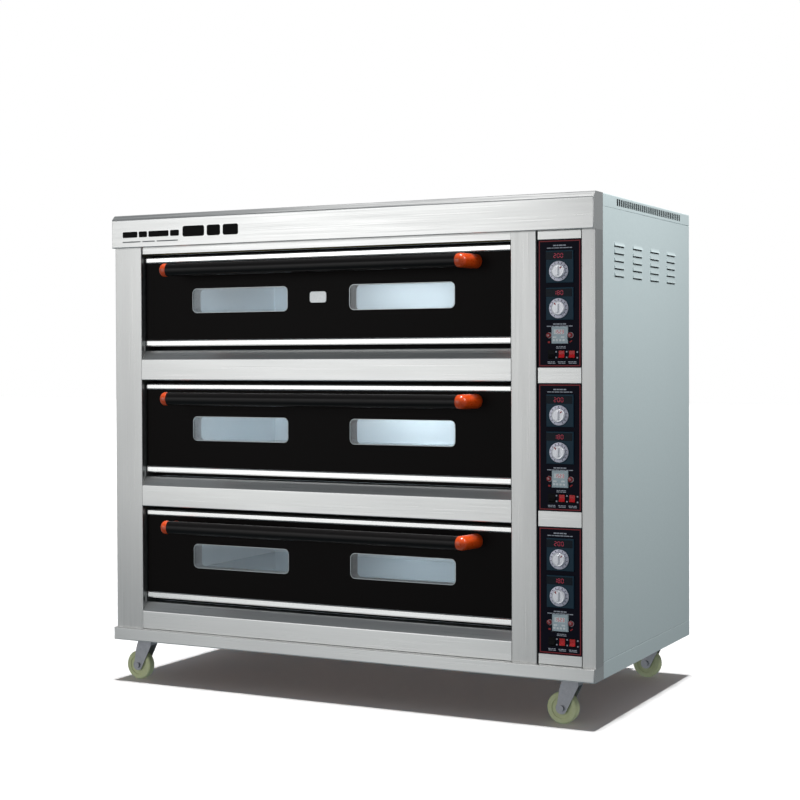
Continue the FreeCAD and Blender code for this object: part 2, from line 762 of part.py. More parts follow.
def make_terminal_box():
    """Mains terminal box on the back, with a gland under it closed by its blanking plug."""
    x, z = 560.0, 300.0
    case_depth = 30.0
    wall = 3.0
    case = box(x - 70, x + 70, back, back + case_depth, z, z + 110)
    hollow = box(x - 67, x + 67, back, back + case_depth - wall, z + wall, z + 107)
    gland = rod((x, back + case_depth / 2, z - 22), (x, back + case_depth / 2, z), 13)
    block = box(x - 45, x + 45, back, back + 18, z + 40, z + 66)
    save("terminal_box", [joined([case.cut(hollow), gland]), block])


os.makedirs("parts", exist_ok=True)
make_base()
make_castors()
save("left_side_panel", [side_panel(-1)])
save("right_side_panel", [side_panel(1)])
make_top_cover()
make_back_panel()
make_hood()
make_pillars()
make_sills()
make_chambers()
make_heaters()
make_insulation()
for deck_index in range(len(decks)):
    make_door(deck_index)
make_controls()
make_terminal_box()
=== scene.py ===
import bpy
import math
from mathutils import Matrix, Vector


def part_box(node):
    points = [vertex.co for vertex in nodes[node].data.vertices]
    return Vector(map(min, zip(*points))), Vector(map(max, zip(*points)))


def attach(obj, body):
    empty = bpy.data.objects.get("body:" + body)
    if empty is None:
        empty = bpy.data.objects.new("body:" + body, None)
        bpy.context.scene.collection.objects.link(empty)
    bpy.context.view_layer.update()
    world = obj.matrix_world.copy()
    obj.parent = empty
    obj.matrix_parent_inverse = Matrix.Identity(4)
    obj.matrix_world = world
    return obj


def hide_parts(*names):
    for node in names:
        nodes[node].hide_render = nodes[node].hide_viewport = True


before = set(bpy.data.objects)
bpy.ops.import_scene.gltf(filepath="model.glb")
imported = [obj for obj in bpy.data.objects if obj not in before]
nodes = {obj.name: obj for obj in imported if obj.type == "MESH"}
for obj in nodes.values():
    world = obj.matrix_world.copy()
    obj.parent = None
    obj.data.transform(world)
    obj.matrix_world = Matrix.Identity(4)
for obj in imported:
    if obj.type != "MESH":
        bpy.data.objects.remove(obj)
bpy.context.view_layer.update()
mm = 0.001
decks = ["bottom", "middle", "top"]
print("frame loaded,", len(nodes), "CAD nodes")


def boxMm(node):
    low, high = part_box(node)
    return low / mm, high / mm


# places that several pieces share, read from the CAD nodes
coverLow, coverHigh = boxMm("top_cover")
hoodLow, hoodHigh = boxMm("hood")
baseLow, baseHigh = boxMm("base_fascia")
frontY = boxMm("front_pillars")[0].y
doorPanels = {deck: boxMm("door_panel_" + deck) for deck in decks}
deckShift = {deck: doorPanels[deck][0].z - doorPanels["top"][0].z for deck in decks}
plateLow, plateHigh = boxMm("control_panels")
trim = {"topHeight": 17.5, "bottomHeight": 19.5, "sideGap": 2.0}


# modelling helpers; all sizes handed to them are in mm

def deselectAll():
    if bpy.context.object and bpy.context.object.mode != "OBJECT":
        bpy.ops.object.mode_set(mode="OBJECT")
    bpy.ops.object.select_all(action="DESELECT")


def makeActive(piece):
    deselectAll()
    piece.select_set(True)
    bpy.context.view_layer.objects.active = piece


def settle(piece):          # place, turn and scale go into the mesh
    makeActive(piece)
    bpy.ops.object.transform_apply(location=True, rotation=True, scale=True)
    return piece


def addBlock(name, low, high):
    deselectAll()
    middle = [(a + b) / 2 * mm for a, b in zip(low, high)]
    size = [(b - a) * mm for a, b in zip(low, high)]
    bpy.ops.mesh.primitive_cube_add(size=1, location=middle, scale=size)
    piece = bpy.context.object
    piece.name = name
    return settle(piece)


def addRod(name, start, end, radius, sides=32):
    deselectAll()
    along = Vector(end) - Vector(start)
    turn = along.to_track_quat("Z", "Y").to_euler()
    bpy.ops.mesh.primitive_cylinder_add(vertices=sides, radius=radius * mm, depth=along.length * mm,
                                        location=(Vector(start) + Vector(end)) / 2 * mm, rotation=turn)
    piece = bpy.context.object
    piece.name = name
    return settle(piece)


def pickFaces(piece, test):
    makeActive(piece)
    bpy.ops.object.mode_set(mode="EDIT")
    bpy.ops.mesh.select_mode(type="FACE")
    bpy.ops.mesh.select_all(action="DESELECT")
    bpy.ops.object.mode_set(mode="OBJECT")
    for face in piece.data.polygons:
        face.select = test(face.center / mm, face.normal)
    bpy.ops.object.mode_set(mode="EDIT")


def pickEdges(piece, test):
    makeActive(piece)
    bpy.ops.object.mode_set(mode="EDIT")
    bpy.ops.mesh.select_mode(type="EDGE")
    bpy.ops.mesh.select_all(action="DESELECT")
    bpy.ops.object.mode_set(mode="OBJECT")
    points = [point.co / mm for point in piece.data.vertices]
    for edge in piece.data.edges:
        edge.select = test(points[edge.vertices[0]], points[edge.vertices[1]])
    bpy.ops.object.mode_set(mode="EDIT")


def roundEdges(piece, radius, test, segments=3):
    pickEdges(piece, test)
    bpy.ops.mesh.bevel(offset=radius * mm, segments=segments, affect="EDGES")
    bpy.ops.object.mode_set(mode="OBJECT")


def onLine(**place):        # picks edges that lie on a line, such as y=.., z=..
    def test(a, b):
        return all(abs(getattr(a, axis) - value) < 0.1 and abs(getattr(b, axis) - value) < 0.1
                   for axis, value in place.items())
    return test


def bevelAll(piece, width, segments=2, angle=35):
    makeActive(piece)
    bevel = piece.modifiers.new("edges", "BEVEL")
    bevel.width = width * mm
    bevel.segments = segments
    bevel.limit_method = "ANGLE"
    bevel.angle_limit = math.radians(angle)
    bpy.ops.object.modifier_apply(modifier="edges")
    return piece


def smooth(piece, angle=35):     # big flat faces keep their own normals beside rounded edges
    makeActive(piece)
    bpy.ops.object.shade_smooth_by_angle(angle=math.radians(angle))
    flat = piece.modifiers.new("flat", "WEIGHTED_NORMAL")
    flat.keep_sharp = True
    flat.weight = 100
    bpy.ops.object.modifier_apply(modifier="flat")
    return piece


def combine(piece, other, operation):     # one closed shell from two
    makeActive(piece)
    both = piece.modifiers.new("both", "BOOLEAN")
    both.operation = operation
    both.solver = "EXACT"
    both.object = other
    bpy.ops.object.modifier_apply(modifier="both")
    bpy.data.objects.remove(other)
    return piece


def copyPiece(piece, name, shift):
    makeActive(piece)
    bpy.ops.object.duplicate(linked=False)
    twin = bpy.context.object
    twin.name = name
    twin.data.transform(Matrix.Translation(Vector(shift) * mm))
    return twin


def join(pieces, name):
    makeActive(pieces[0])
    for piece in pieces[1:]:
        piece.select_set(True)
    if len(pieces) > 1:
        bpy.ops.object.join()
    joined = bpy.context.object
    joined.name = name
    return joined


def copyNode(name, *nodeNames):     # a CAD mesh to work on: merged, with flat areas made whole
    pieces = []
    for nodeName in nodeNames:
        piece = bpy.data.objects.new(name, nodes[nodeName].data.copy())
        bpy.context.collection.objects.link(piece)
        pieces.append(piece)
    piece = join(pieces, name)
    bpy.ops.object.mode_set(mode="EDIT")
    bpy.ops.mesh.customdata_custom_splitnormals_clear()
    bpy.ops.mesh.select_all(action="SELECT")
    bpy.ops.mesh.remove_doubles(threshold=0.00002)
    bpy.ops.mesh.dissolve_limited(angle_limit=math.radians(0.6))
    bpy.ops.object.mode_set(mode="OBJECT")
    return piece


def finishPiece(piece, material, slotName, body="oven", standsFor=()):
    piece.data.materials.clear()
    piece.data.materials.append(material)
    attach(piece, body)
    if standsFor:
        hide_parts(*standsFor)
    return piece


def srgb(hexText):
    values = [int(hexText[i:i + 2], 16) / 255 for i in (1, 3, 5)]
    return [v / 12.92 if v <= 0.04045 else ((v + 0.055) / 1.055) ** 2.4 for v in values] + [1.0]


def addNode(tree, kind, settings=None, links=None):
    node = tree.nodes.new("ShaderNode" + kind)
    for key, value in (settings or {}).items():
        if key == "stops":
            for index, (place, colour) in enumerate(value):
                stops = node.color_ramp.elements
                stop = stops[index] if index < 2 else stops.new(place)
                stop.position = place
                stop.color = srgb(colour)
        elif isinstance(key, int) or key in node.inputs:
            node.inputs[key].default_value = value
        else:
            setattr(node, key, value)
    for key, socket in (links or {}).items():
        tree.links.new(socket, node.inputs[key])
    return node


def newMaterial(name, settings):
    material = bpy.data.materials.new(name)
    material.use_nodes = True
    tree = material.node_tree
    shader = tree.nodes["Principled BSDF"]
    for key, value in settings.items():
        shader.inputs[key].default_value = srgb(value) if isinstance(value, str) else value
    return material, tree, shader


def patternAt(tree, scale, turn=(0, 0, 0)):     # object coordinates, scaled per axis
    place = addNode(tree, "TexCoord")
    return addNode(tree, "Mapping", {"Scale": scale, "Rotation": turn},
                   {"Vector": place.outputs["Object"]}).outputs["Vector"]


def perMm(x, y, z):         # repeats of a pattern from its size in mm along each axis
    return (1 / (x * mm), 1 / (y * mm), 1 / (z * mm))


def brushedSteel(name, grain, tint=("#cfcfce", "#e4e4e2"), roughness=(0.26, 0.40)):
    # 304 stainless sheet, belt-brushed: long fine streaks that blur reflections along the grain.
    # Real streaks are 0.1 mm wide; they are drawn 2 to 4 mm wide so that they show.
    material, tree, shader = newMaterial(name, {"Metallic": 1.0, "Anisotropic": 0.35})
    streak = {"x": perMm(420, 3.2, 3.2), "y": perMm(3.2, 420, 3.2), "z": perMm(3.2, 3.2, 420)}[grain]
    wide = {"x": perMm(900, 160, 160), "y": perMm(160, 900, 160), "z": perMm(160, 160, 900)}[grain]
    fine = addNode(tree, "TexNoise", {"Scale": 1.0, "Detail": 4.0, "Roughness": 0.65},
                   {"Vector": patternAt(tree, streak)})
    slow = addNode(tree, "TexNoise", {"Scale": 1.0, "Detail": 2.0}, {"Vector": patternAt(tree, wide)})
    both = addNode(tree, "Math", {"operation": "MULTIPLY_ADD", 1: 0.55},
                   {0: fine.outputs["Fac"], 2: slow.outputs["Fac"]})
    colour = addNode(tree, "ValToRGB", {"stops": [(0.42, tint[0]), (1.05, tint[1])]},
                     {"Fac": both.outputs[0]})
    rough = addNode(tree, "MapRange", {"From Min": 0.3, "From Max": 0.7, "To Min": roughness[0],
                                       "To Max": roughness[1]}, {"Value": fine.outputs["Fac"]})
    bump = addNode(tree, "Bump", {"Strength": 0.05, "Distance": 0.0003}, {"Height": fine.outputs["Fac"]})
    tree.links.new(colour.outputs["Color"], shader.inputs["Base Color"])
    tree.links.new(rough.outputs["Result"], shader.inputs["Roughness"])
    tree.links.new(bump.outputs["Normal"], shader.inputs["Normal"])
    return material


def speckled(name, colours, patternMm, settings, roughness, bumpMm=0.1, strength=0.2):
    # a moulded, cast or coated surface: colour, gloss and height follow one fine noise
    material, tree, shader = newMaterial(name, settings)
    noise = addNode(tree, "TexNoise", {"Scale": 1.0, "Detail": 5.0, "Roughness": 0.6},
                    {"Vector": patternAt(tree, perMm(*[patternMm] * 3))})
    colour = addNode(tree, "ValToRGB", {"stops": [(0.3, colours[0]), (0.7, colours[1])]},
                     {"Fac": noise.outputs["Fac"]})
    rough = addNode(tree, "MapRange", {"From Min": 0.3, "From Max": 0.7, "To Min": roughness[0],
                                       "To Max": roughness[1]}, {"Value": noise.outputs["Fac"]})
    bump = addNode(tree, "Bump", {"Strength": strength, "Distance": bumpMm * mm},
                   {"Height": noise.outputs["Fac"]})
    tree.links.new(colour.outputs["Color"], shader.inputs["Base Color"])
    tree.links.new(rough.outputs["Result"], shader.inputs["Roughness"])
    tree.links.new(bump.outputs["Normal"], shader.inputs["Normal"])
    return material


steelAcross = brushedSteel("brushed_stainless_across", "x")
# the pillars' copy of the same stainless, tinted darker as painted shade
steelUprightShaded = brushedSteel("brushed_stainless_upright_painted_shade", "z", ("#c0c0bf", "#d6d6d4"))
# polished stainless moulding, tinted near white as a painted highlight so that it shows as the brightest line on
# the front
polishedTrimLit = brushedSteel("polished_stainless_moulding_painted_highlight", "x", ("#f0f0ee", "#fafaf8"), (0.18, 0.28))
# window rims: the same stainless tinted darker than the front sheet, as painted shade
rimSteelShaded = brushedSteel("satin_window_rim_painted_shade", "x", ("#a8aeb0", "#c0c5c7"), (0.24, 0.34))
# powder-coated steel, pale grey-green, with the faint orange peel of a baked coat
casingPaint = speckled("powder_coat_grey_green", ("#b4c1c2", "#bdc9ca"), 4.0,
                       {"Specular IOR Level": 0.45}, (0.36, 0.46), 0.15, 0.12)
# baked black enamel on the doors: deep black, only a weak satin reflection
blackEnamel = speckled("baked_black_enamel", ("#0d0908", "#110d0c"), 6.0,
                       {"Specular IOR Level": 0.06}, (0.34, 0.46), 0.1, 0.08)
# phenolic sleeve of the handle bar: black and a little glossier than the door
blackSleeve = speckled("black_phenolic_sleeve", ("#080606", "#0d0a0a"), 5.0,
                       {"Specular IOR Level": 0.22}, (0.28, 0.36), 0.1, 0.08)
# injection-moulded orange nylon, glossy, slightly see-through at its edges
orangeNylon = speckled("moulded_orange_nylon", ("#dd4a10", "#e05014"), 7.0,
                       {"Specular IOR Level": 0.5, "Subsurface Weight": 0.08,
                        "Subsurface Radius": (0.006, 0.002, 0.001), "Coat Weight": 0.25,
                        "Coat Roughness": 0.12}, (0.26, 0.32), 0.05, 0.05)
# aluminised steel of the baking chamber: pale, cool and softly reflecting
chamberSteel = speckled("aluminised_chamber_steel", ("#acb9c1", "#b8c4cb"), 240.0,
                        {"Metallic": 0.55}, (0.30, 0.42), 0.05, 0.05)
# cold-rolled hearth plate: smooth enough to mirror the walls
hearthSteel = speckled("cold_rolled_hearth_steel", ("#9aabb4", "#a9b9c1"), 240.0,
                       {"Metallic": 0.9}, (0.12, 0.20), 0.05, 0.03)
# nickel-alloy heater sheath with a dull oxide
heaterSheath = speckled("oxidised_heater_sheath", ("#4c4a48", "#6b6864"), 9.0,
                        {"Metallic": 0.8}, (0.42, 0.6))
# mineral wool: matt, yellow-brown, fibrous
rockWool = speckled("mineral_wool", ("#8d8052", "#b3a670"), 5.0, {}, (0.9, 1.0), 2.0, 0.8)
# zinc-plated pressed steel of the castors and brackets
zincSteel = speckled("zinc_plated_steel", ("#a2a3a8", "#b8b8bd"), 12.0, {"Metallic": 0.85},
                     (0.34, 0.5), 0.2, 0.2)
# galvanised sheet of the door's inner shell and frame tubes
galvanised = speckled("galvanised_sheet", ("#8f9498", "#a5aaad"), 25.0, {"Metallic": 0.8},
                      (0.38, 0.52), 0.1, 0.1)
# cast nylon wheel, pale yellow-green, a little translucent
castNylon = speckled("cast_nylon_wheel", ("#d4d8a4", "#dfe3b4"), 14.0,
                     {"Subsurface Weight": 0.15, "Subsurface Radius": (0.006, 0.006, 0.003)},
                     (0.38, 0.5), 0.2, 0.15)
# screen-printed polyester film over the control plate
printFilm = speckled("printed_navy_film", ("#0a0a1a", "#0e0e22"), 3.0,
                      {"Specular IOR Level": 0.08}, (0.36, 0.46), 0.05, 0.1)
redInk = speckled("dark_red_screen_ink", ("#8a141d", "#a01a24"), 3.0, {}, (0.45, 0.55))
greyInk = speckled("grey_screen_ink", ("#8d8f90", "#9b9d9e"), 3.0, {}, (0.5, 0.6))
paleInk = speckled("pale_grey_screen_ink", ("#b4b8c4", "#ced2dc"), 3.0, {}, (0.5, 0.6))
blackInk = speckled("black_screen_ink", ("#0b0a0a", "#100f0f"), 3.0, {"Specular IOR Level": 0.1}, (0.5, 0.6))
brightRedInk = speckled("red_screen_ink", ("#a81318", "#c01a1e"), 3.0, {}, (0.5, 0.6))
# moulded slate-blue ABS of the thermostats, fine spark-eroded texture
slateAbs = speckled("moulded_slate_abs", ("#1c3848", "#234253"), 2.0, {"Specular IOR Level": 0.2},
                    (0.42, 0.55), 0.1, 0.2)
darkFilter = speckled("smoked_display_filter", ("#0c1822", "#12202c"), 4.0,
                      {"Specular IOR Level": 0.1}, (0.12, 0.2), 0.05, 0.05)
# silver-white moulded dial
dialAbs = speckled("silver_white_dial_abs", ("#f0f0f6", "#fbfbff"), 3.0,
                   {"Specular IOR Level": 0.5, "Metallic": 0.45}, (0.26, 0.36), 0.05, 0.1)
dialRing = speckled("lavender_grey_dial_scale", ("#c2c2d2", "#d6d6e4"), 3.0, {"Metallic": 0.4},
                    (0.3, 0.4), 0.05, 0.1)
timerAbs = speckled("blue_grey_timer_abs", ("#b9ccd4", "#cbdae0"), 4.0, {"Specular IOR Level": 0.4},
                    (0.36, 0.48), 0.1, 0.2)
timerKeys = speckled("pale_timer_keys", ("#f0f8fa", "#fbffff"), 2.0, {}, (0.4, 0.5))
blackAbs = speckled("moulded_black_abs", ("#0a0a0c", "#111114"), 2.0, {"Specular IOR Level": 0.12},
                    (0.34, 0.48), 0.1, 0.2)
redRocker = speckled("moulded_red_rocker", ("#d40a14", "#ea1420"), 3.0,
                     {"Specular IOR Level": 0.5, "Subsurface Weight": 0.05}, (0.2, 0.3), 0.05, 0.1)
redLens = speckled("red_indicator_lens", ("#8a0e18", "#a41420"), 3.0,
                   {"Specular IOR Level": 0.6, "Coat Weight": 0.5}, (0.12, 0.2), 0.05, 0.1)
lensRing = speckled("chromed_lamp_ring", ("#8f8288", "#a2969b"), 3.0, {"Metallic": 0.5}, (0.3, 0.4))
greyAbs = speckled("moulded_grey_abs", ("#5f6468", "#6f7478"), 3.0, {"Specular IOR Level": 0.4},
                   (0.42, 0.55), 0.1, 0.3)
badgeMetal = speckled("anodised_badge_aluminium", ("#dfe2e2", "#eceeee"), 5.0, {"Metallic": 0.4}, (0.3, 0.4))


def glowing(name, hexColour, strength):
    material, tree, shader = newMaterial(name, {"Base Color": hexColour, "Roughness": 0.35,
                                                "Emission Color": hexColour,
                                                "Emission Strength": strength})
    noise = addNode(tree, "TexNoise", {"Scale": 1.0, "Detail": 2.0},
                    {"Vector": patternAt(tree, perMm(3, 3, 3))})
    rough = addNode(tree, "MapRange", {"To Min": 0.3, "To Max": 0.45}, {"Value": noise.outputs["Fac"]})
    tree.links.new(rough.outputs["Result"], shader.inputs["Roughness"])
    return material


redDigits = glowing("lit_red_segments", "#b5324a", 0.35)
lampGlass = glowing("lit_lamp_glass", "#f2f6ff", 2.0)


def windowGlass():
    # tempered borosilicate pane: clear, faintly blue, with a trace of haze
    material, tree, shader = newMaterial("tempered_window_glass", {
        "Base Color": "#f0f5f7", "Roughness": 0.02, "IOR": 1.47, "Transmission Weight": 1.0})
    noise = addNode(tree, "TexNoise", {"Scale": 1.0, "Detail": 3.0},
                    {"Vector": patternAt(tree, perMm(45, 45, 45))})
    rough = addNode(tree, "MapRange", {"To Min": 0.0, "To Max": 0.05}, {"Value": noise.outputs["Fac"]})
    tree.links.new(rough.outputs["Result"], shader.inputs["Roughness"])
    return material


clearPane = windowGlass()

nodeFinish = {
    "back_panel": casingPaint, "castor_plates": zincSteel,
    "baking_chambers": chamberSteel, "hearth_plates": hearthSteel, "heating_elements": heaterSheath,
    "insulation": rockWool, "oven_lamps": lampGlass, "control_panels": printFilm,
    "switch_housings": blackAbs, "thermostat_bodies": slateAbs, "bake_timers": timerAbs,
    "indicator_lamps": lensRing, "terminal_box": greyAbs,
}
for deck in decks:
    nodeFinish["door_panel_" + deck] = blackEnamel
    nodeFinish["door_frame_" + deck] = galvanised
    nodeFinish["door_glass_" + deck] = clearPane
for nodeName, material in nodeFinish.items():
    nodes[nodeName].data.materials.clear()
    nodes[nodeName].data.materials.append(material)
print("materials made")


# stainless front and painted casing
seam = {"lip": 2.0, "skirt": boxMm("left_side_panel")[0].z}
fold = {"hood": 3.0, "base": 3.0, "pillar": 2.5, "sill": 2.5, "cover": 3.0, "louvre": 2.5}

hood = copyNode("hood_shell", "hood")
hoodBevel = 16.0
roundEdges(hood, fold["hood"], lambda a, b: onLine(y=hoodLow.y, z=hoodLow.z)(a, b)
           or onLine(y=hoodLow.y, z=hoodHigh.z - hoodBevel)(a, b)
           or onLine(y=hoodLow.y + hoodBevel, z=hoodHigh.z)(a, b)
           or onLine(x=hoodLow.x, y=hoodLow.y)(a, b) or onLine(x=hoodHigh.x, y=hoodLow.y)(a, b))
smooth(hood)
finishPiece(hood, steelAcross, "stainless", standsFor=["hood"])

# plain dashes where the front carries lettering: (left, right, low, high) in mm
hoodDashes = [(-786, -728, 1440, 1459), (-722, -690, 1440, 1459), (-684, -606, 1440, 1459),
              (-600, -566, 1440, 1459), (-552, -470, 1436, 1470), (-460, -410, 1436, 1470),
              (-400, -343, 1436, 1470)]
hoodFineDashes = [(-786, -716, 1424, 1428), (-708, -660, 1424, 1428), (-652, -570, 1424, 1428)]


def addHoodDashes(name, places, material):
    dashes = []
    for left, right, low, high in places:
        dash = addBlock("dash", (left, hoodLow.y - 0.25, low), (right, hoodLow.y - 0.02, high))
        roundEdges(dash, (high - low) * 0.2, lambda a, b: abs(a.y - b.y) > 0.1, 4)
        dashes.append(dash)
    finishPiece(join(dashes, name), material, "control_print")


addHoodDashes("hood_print_bold", hoodDashes, blackInk)
addHoodDashes("hood_print_fine", hoodFineDashes, greyInk)

fascia = copyNode("base_fascia_shell", "base_fascia")
roundEdges(fascia, fold["base"], lambda a, b: onLine(y=baseLow.y, z=baseHigh.z)(a, b)
           or onLine(y=baseLow.y, z=baseLow.z)(a, b) and abs(a.x - b.x) > 9
           or onLine(x=baseLow.x, y=baseLow.y)(a, b) or onLine(x=baseHigh.x, y=baseLow.y)(a, b))
smooth(fascia)
finishPiece(fascia, steelAcross, "stainless", standsFor=["base_fascia"])

pillars = copyNode("front_pillar_sheets", "front_pillars")
roundEdges(pillars, fold["pillar"], lambda a, b: onLine(y=frontY)(a, b) and abs(a.z - b.z) > 500)
smooth(pillars)
finishPiece(pillars, steelUprightShaded, "stainless", standsFor=["front_pillars"])

sills = copyNode("deck_sill_sheets", "deck_sills")
sillSlope = 24.0


def sillFold(a, b):
    if abs(a.x - b.x) < 500:
        return False
    return onLine(y=frontY)(a, b) or onLine(y=frontY + sillSlope)(a, b)


roundEdges(sills, fold["sill"], sillFold)
smooth(sills)
finishPiece(sills, steelAcross, "stainless", standsFor=["deck_sills"])

spacers = copyNode("control_spacer_sheets", "control_spacers")
roundEdges(spacers, 2.0, lambda a, b: onLine(y=frontY)(a, b) and abs(a.x - b.x) > 60)
smooth(spacers)
finishPiece(spacers, steelAcross, "stainless", standsFor=["control_spacers"])

baseTubes = copyNode("base_tubes_and_skirts", "base_frame")
roundEdges(baseTubes, seam["lip"], lambda a, b: onLine(z=seam["skirt"])(a, b)
           and abs(abs(a.x) - coverHigh.x) < 0.1 and abs(a.y - b.y) > 500, 2)
finishPiece(baseTubes, galvanised, "casing_paint", standsFor=["base_frame"])
baseTubes.data.materials.append(casingPaint)
for flat in baseTubes.data.polygons:      # the skirts continue the painted sides
    if abs(flat.center.x / mm) > coverHigh.x - 2.0:
        flat.material_index = 1

cover = copyNode("top_cover_sheet", "top_cover")
roundEdges(cover, fold["cover"], lambda a, b: onLine(z=coverHigh.z, x=coverLow.x)(a, b)
           or onLine(z=coverHigh.z, x=coverHigh.x)(a, b) or onLine(z=coverHigh.z, y=coverHigh.y)(a, b))
roundEdges(cover, seam["lip"], lambda a, b: onLine(z=coverLow.z, x=coverLow.x)(a, b)
           or onLine(z=coverLow.z, x=coverHigh.x)(a, b), 2)
smooth(cover)
finishPiece(cover, casingPaint, "casing_paint", standsFor=["top_cover"])

louvre = {"firstY": 153.0, "pitchY": 163.0, "length": 84.0, "top": 1384.0, "pitchZ": 21.7, "height": 14.0,
          "columns": 4, "rows": 5, "gap": 3.2}


def cutLouvreSlots(panel, side):        # the open slot under each louvre's lip
    cutters = []
    for column in range(louvre["columns"]):
        for row in range(louvre["rows"]):
            y = frontY + louvre["firstY"] + column * louvre["pitchY"]
            lip = louvre["top"] - row * louvre["pitchZ"] - louvre["height"]
            x0, x1 = sorted((side * (coverHigh.x - 3.0), side * (coverHigh.x + 1.0)))
            cutters.append(addBlock("slot", (x0, y + 2.0, lip - louvre["gap"]),
                                    (x1, y + louvre["length"] - 2.0, lip + 0.4)))
    combine(panel, join(cutters, "slots"), "DIFFERENCE")


for sideName, side in (("left", -1), ("right", 1)):
    panel = copyNode(sideName + "_side_sheet", sideName + "_side_panel")
    face = coverHigh.x * side

    def louvreEdge(a, b):    # the sloping ends and the lip of each pressed louvre
        outA = side * (a.x - face)
        outB = side * (b.x - face)
        return max(outA, outB) > 4.5 and min(outA, outB) > -0.1 and abs(a.z - b.z) > 5

    roundEdges(panel, fold["louvre"], louvreEdge, 2)
    roundEdges(panel, seam["lip"], lambda a, b: onLine(x=face, z=seam["skirt"])(a, b)
               or onLine(x=face, z=coverLow.z)(a, b), 2)
    cutLouvreSlots(panel, side)
    smooth(panel)
    finishPiece(panel, casingPaint, "casing_paint", standsFor=[sideName + "_side_panel"])

def addRimPlate(name, low, high, holeLow, holeHigh):
    # thin plate facing the doors with a rectangular mouth, cut out by inset and bridge
    piece = addBlock(name, low, high)
    pickFaces(piece, lambda centre, normal: abs(normal.y) > 0.9)
    bpy.ops.mesh.inset(thickness=10 * mm)
    bpy.ops.mesh.bridge_edge_loops()
    bpy.ops.object.mode_set(mode="OBJECT")
    edgesX = (low[0], high[0])
    for point in piece.data.vertices:      # the inner loop goes to the mouth's corners
        if min(abs(point.co.x / mm - edge) for edge in edgesX) > 1:
            point.co.x = (holeLow[0] if point.co.x / mm < (low[0] + high[0]) / 2 else holeHigh[0]) * mm
            point.co.z = (holeLow[1] if point.co.z / mm < (low[2] + high[2]) / 2 else holeHigh[1]) * mm
    return piece


mouthLow, mouthHigh = boxMm("hearth_plates")
flangeY = boxMm("baking_chambers")[0].y
sillLow, sillHigh = boxMm("deck_sills")
topBottom = doorPanels["top"][0].z - trim["bottomHeight"]
# heights from a door's bottom edge
chamberFace = {"below": 13.5, "above": 297.0, "mouthFloor": 30.0, "mouthCeiling": 255.0}
# black plates over the chamber fronts: painted shade that darkens the gaps round the doors; with a door open
# they show as a black face round the mouth
gapShadePlate = addRimPlate("gap_shade_plate_top", (sillLow.x + 0.5, flangeY - 0.75, topBottom - chamberFace["below"]),
                        (sillHigh.x - 0.5, flangeY - 0.1, topBottom + chamberFace["above"]),
                        (mouthLow.x - 1.0, topBottom + chamberFace["mouthFloor"]),
                        (mouthHigh.x + 1.0, topBottom + chamberFace["mouthCeiling"]))
for deck in ("bottom", "middle", "top"):
    twin = gapShadePlate if deck == "top" else copyPiece(gapShadePlate, "gap_shade_plate_" + deck, (0, 0, deckShift[deck]))
    finishPiece(twin, blackEnamel, "black_enamel")
print("casing sheets made")


# doors
def addStrip(name, low, high, proud):
    # moulding along X: a block whose front is drawn out to a rounded back
    piece = addBlock(name, low, high)
    height = high[2] - low[2]
    pickFaces(piece, lambda centre, normal: normal.y < -0.9)
    bpy.ops.mesh.inset(thickness=height * 0.14 * mm, depth=proud * mm)
    bpy.ops.object.mode_set(mode="OBJECT")
    bevelAll(piece, height * 0.07, 3, 15)
    return smooth(piece, 50)


def addRim(name, low, high, width, proud, radius):
    # flat moulding round a window: a rounded plate, inset, its middle taken out
    piece = addBlock(name, low, high)
    roundEdges(piece, radius, lambda a, b: abs(a.y - b.y) > 0.5, 8)
    pickFaces(piece, lambda centre, normal: abs(normal.y) > 0.9)
    bpy.ops.mesh.inset(thickness=width * mm)
    bpy.ops.mesh.bridge_edge_loops()
    bpy.ops.object.mode_set(mode="OBJECT")
    bevelAll(piece, proud * 0.45, 2, 40)
    return smooth(piece, 40)


window = {"fromEdge": 182.0, "width": 352.0, "above": 106.0, "height": 76.0, "corner": 15.0,
          "rimWidth": 1.8, "rimProud": 0.8}
handle = {"above": 240.0, "standOff": 75.0, "elbowInset": 127.0, "footInset": 114.0, "radius": 22.0,
          "height": 21.2, "tongue": 30.0, "leftEnd": (15.0, 13.5), "rightEnd": (22.0, 21.2)}
topLow, topHigh = doorPanels["top"]
doorLeft = topLow.x - trim["sideGap"]
doorRight = topHigh.x + trim["sideGap"]
doorFace = topLow.y
doorBottom = topLow.z - trim["bottomHeight"]
doorTop = topHigh.z + trim["topHeight"]

topStrip = addStrip("door_moulding_upper_top",
                    (doorLeft + 0.5, doorFace - 1.2, doorTop - trim["topHeight"] + 0.5),
                    (doorRight - 0.5, doorFace, doorTop - 0.3), 2.6)
bottomStrip = addStrip("door_moulding_lower_top", (doorLeft + 0.5, doorFace - 1.2, doorBottom + 0.3),
                       (doorRight - 0.5, doorFace, doorBottom + trim["bottomHeight"] - 0.5), 2.6)


def windowEdges(index):
    if index == 0:
        left = doorLeft + window["fromEdge"]
    else:
        left = doorRight - window["fromEdge"] - window["width"]
    return left, left + window["width"]


rims = []
for index in (0, 1):
    left, right = windowEdges(index)
    grow = window["rimWidth"] * 0.5
    rims.append(addRim("window_rim_%d_top" % index,
                       (left - grow, doorFace - window["rimProud"], doorBottom + window["above"] - grow),
                       (right + grow, doorFace + 1.0, doorBottom + window["above"] + window["height"] + grow),
                       window["rimWidth"], window["rimProud"], window["corner"] + grow))


